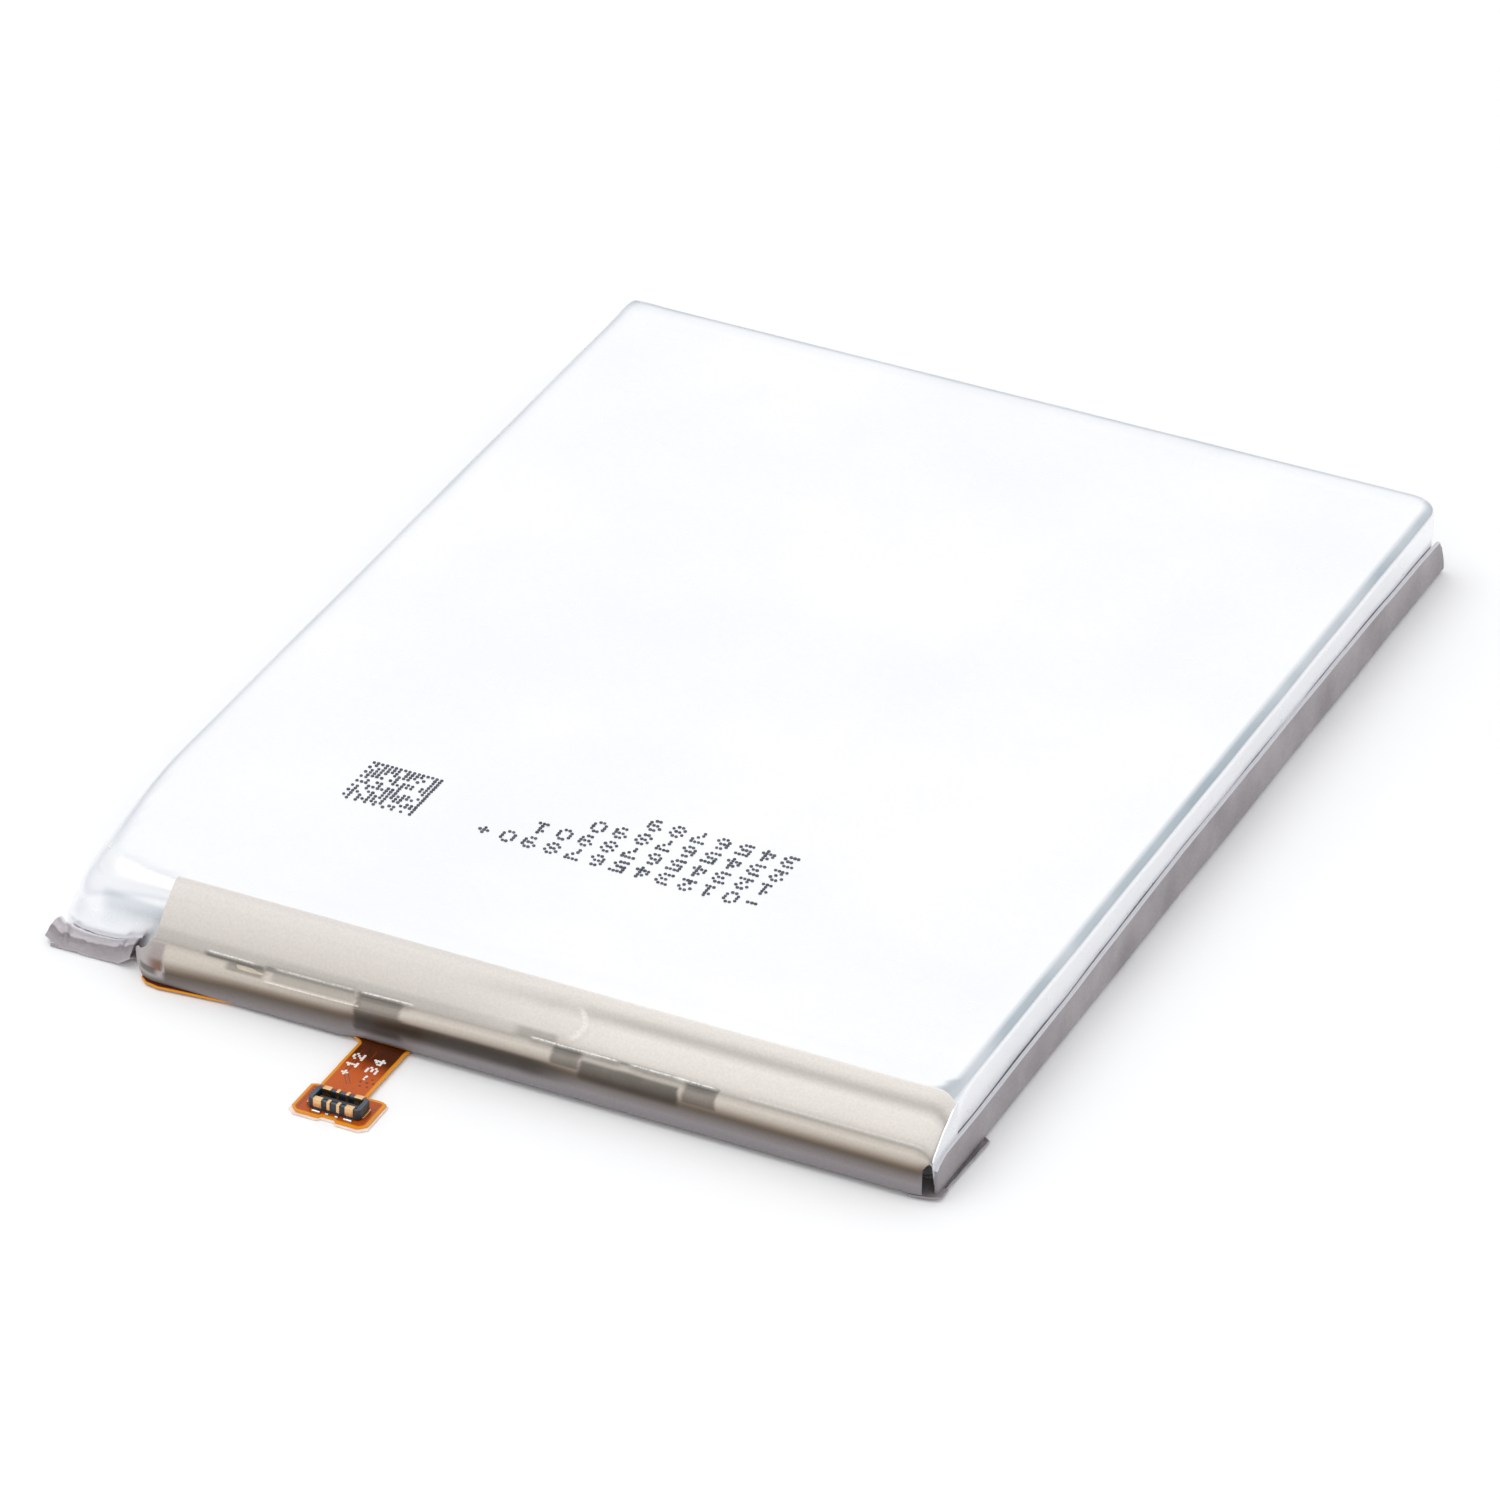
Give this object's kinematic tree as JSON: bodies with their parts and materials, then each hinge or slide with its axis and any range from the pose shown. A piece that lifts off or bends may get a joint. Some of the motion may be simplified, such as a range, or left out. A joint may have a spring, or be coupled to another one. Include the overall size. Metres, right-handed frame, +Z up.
{
  "type": "pouch battery pack",
  "caption": "Flat rectangular lithium polymer pouch battery with folded side seals, a taped protection circuit along one edge and a short flex tail ending in a board connector",
  "frame": {"origin": "Centre of the pouch's flat underside", "axes": "+X across the width, +Y along the length away from the terminals, +Z up through the thickness"},
  "size_m": [0.059, 0.0888, 0.0055],
  "materials": {
    "bright_laminate": "bright, clear-coated aluminium laminate film",
    "matte_laminate": "matte nylon side of the aluminium laminate film",
    "graphite_electrode": "graphite coated on copper foil, pressed",
    "oxide_electrode": "lithium oxide coated on aluminium foil, pressed",
    "separator_film": "porous polyolefin film, matte white",
    "binding_tape": "green polyester tape",
    "copper_foil": "rolled copper foil",
    "aluminium_foil": "rolled aluminium strip",
    "nickel_strip": "rolled nickel strip",
    "sealant_film": "polypropylene sealant film",
    "adhesive_tape": "double-sided adhesive tape",
    "board_laminate": "glass-epoxy board with solder mask",
    "ceramic_chip": "fired ceramic chip",
    "chip_epoxy": "moulded black epoxy",
    "insulating_board": "pressed insulating strip",
    "translucent_tape": "matte translucent polyester tape",
    "polyimide_flex": "polyimide flexible circuit with copper inside",
    "stiffener_laminate": "cut glass-epoxy stiffener",
    "connector_resin": "moulded liquid-crystal polymer",
    "gold_plating": "gold-plated copper alloy",
    "tin_solder": "reflowed tin solder"
  },
  "bodies": {
    "pack": {"pouch_cup": "bright_laminate", "pouch_cover": "matte_laminate", "side_seal_right": "matte_laminate", "side_seal_left": "matte_laminate", "terrace_seal": "matte_laminate", "corner_fold": "matte_laminate", "anode_sheets": "graphite_electrode", "cathode_sheets": "oxide_electrode", "separator_sheets": "separator_film", "stack_tapes": "binding_tape", "anode_foils": "copper_foil", "cathode_foils": "aluminium_foil", "negative_lead": "nickel_strip", "positive_lead": "aluminium_foil", "lead_seal_films": "sealant_film", "board_tape": "adhesive_tape", "circuit_board": "board_laminate", "weld_plates": "nickel_strip", "board_fuse": "ceramic_chip", "mosfets": "chip_epoxy", "protection_chip": "chip_epoxy", "chip_resistors": "chip_epoxy", "chip_capacitors": "ceramic_chip", "thermistor": "ceramic_chip", "insulating_strip": "insulating_board", "lead_cover": "insulating_board", "wrap_tape": "translucent_tape", "adhesive_dot": "adhesive_tape", "flex_fold": "polyimide_flex", "flex_run": "polyimide_flex", "flex_root_bend": "polyimide_flex"},
    "tail": {"flex_tail": "polyimide_flex", "flex_end_bend": "polyimide_flex"},
    "connector_pad": {"connector_flex": "polyimide_flex", "pad_stiffener": "stiffener_laminate", "connector_housing": "connector_resin", "power_contacts": "gold_plating", "signal_contacts": "gold_plating", "solder_joints": "tin_solder", "connector_anchors": "gold_plating"}
  },
  "joints": [
    {"name": "tail_bend", "type": "hinge", "parent": "pack", "child": "tail", "pos_m": [-0.00635, -0.0417, 0.00018], "axis": [-1, 0, 0], "range_deg": [0, 90], "stiffness_Nm_per_rad": 0.000025, "deforming": ["flex_root_bend"]},
    {"name": "connector_bend", "type": "hinge", "parent": "tail", "child": "connector_pad", "pos_m": [-0.00635, -0.04645, 0.00018], "axis": [-1, 0, 0], "range_deg": [0, 45], "stiffness_Nm_per_rad": 0.00002, "deforming": ["flex_end_bend"]}
  ]
}
